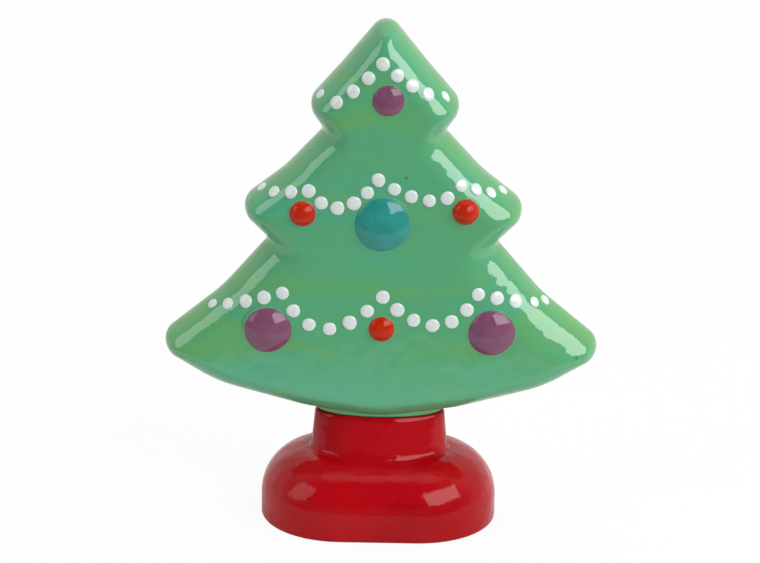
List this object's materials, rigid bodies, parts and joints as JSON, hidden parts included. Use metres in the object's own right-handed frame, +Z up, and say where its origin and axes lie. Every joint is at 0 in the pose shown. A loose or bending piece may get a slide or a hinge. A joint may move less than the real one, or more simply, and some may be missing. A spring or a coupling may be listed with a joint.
{
  "type": "ceramic christmas tree",
  "caption": "Glazed ceramic tabletop christmas tree with raised ornaments and bead garlands, lifting off a red trunk stand.",
  "frame": {"origin": "middle of the foot's underside, on the surface that the tree stands on", "axes": "+Z up through the tree's top, decorated front faces -Y, +X to the right of someone facing it"},
  "size_m": [0.095, 0.0368, 0.1142],
  "materials": {
    "green_glaze": "gloss",
    "trunk_red_glaze": "gloss",
    "white_glaze": "gloss",
    "purple_glaze": "gloss",
    "teal_glaze": "gloss",
    "orange_red_glaze": "gloss"
  },
  "bodies": {
    "stand": {"trunk_stand": "trunk_red_glaze"},
    "tree": {"tree_shell": "green_glaze", "ornament_bottom_centre_red": "orange_red_glaze", "ornament_bottom_left_purple": "purple_glaze", "ornament_bottom_right_purple": "purple_glaze", "ornament_middle_left_red": "orange_red_glaze", "ornament_middle_right_red": "orange_red_glaze", "ornament_middle_teal": "teal_glaze", "ornament_top_purple": "purple_glaze", "bead_bottom_1": "white_glaze", "bead_bottom_10": "white_glaze", "bead_bottom_11": "white_glaze", "bead_bottom_12": "white_glaze", "bead_bottom_13": "white_glaze", "bead_bottom_14": "white_glaze", "bead_bottom_15": "white_glaze", "bead_bottom_16": "white_glaze", "bead_bottom_17": "white_glaze", "bead_bottom_18": "white_glaze", "bead_bottom_19": "white_glaze", "bead_bottom_2": "white_glaze", "bead_bottom_20": "white_glaze", "bead_bottom_21": "white_glaze", "bead_bottom_3": "white_glaze", "bead_bottom_4": "white_glaze", "bead_bottom_5": "white_glaze", "bead_bottom_6": "white_glaze", "bead_bottom_7": "white_glaze", "bead_bottom_8": "white_glaze", "bead_bottom_9": "white_glaze", "bead_middle_1": "white_glaze", "bead_middle_10": "white_glaze", "bead_middle_11": "white_glaze", "bead_middle_12": "white_glaze", "bead_middle_13": "white_glaze", "bead_middle_14": "white_glaze", "bead_middle_15": "white_glaze", "bead_middle_16": "white_glaze", "bead_middle_17": "white_glaze", "bead_middle_2": "white_glaze", "bead_middle_3": "white_glaze", "bead_middle_4": "white_glaze", "bead_middle_5": "white_glaze", "bead_middle_6": "white_glaze", "bead_middle_7": "white_glaze", "bead_middle_8": "white_glaze", "bead_middle_9": "white_glaze", "bead_top_1": "white_glaze", "bead_top_2": "white_glaze", "bead_top_3": "white_glaze", "bead_top_4": "white_glaze", "bead_top_5": "white_glaze", "bead_top_6": "white_glaze", "bead_top_7": "white_glaze", "bead_top_8": "white_glaze", "bead_top_9": "white_glaze"}
  },
  "joints": [
    {"name": "tree_lift", "type": "slide", "parent": "stand", "child": "tree", "axis": [0, 0, 1], "range_m": [0, 0.012]}
  ]
}
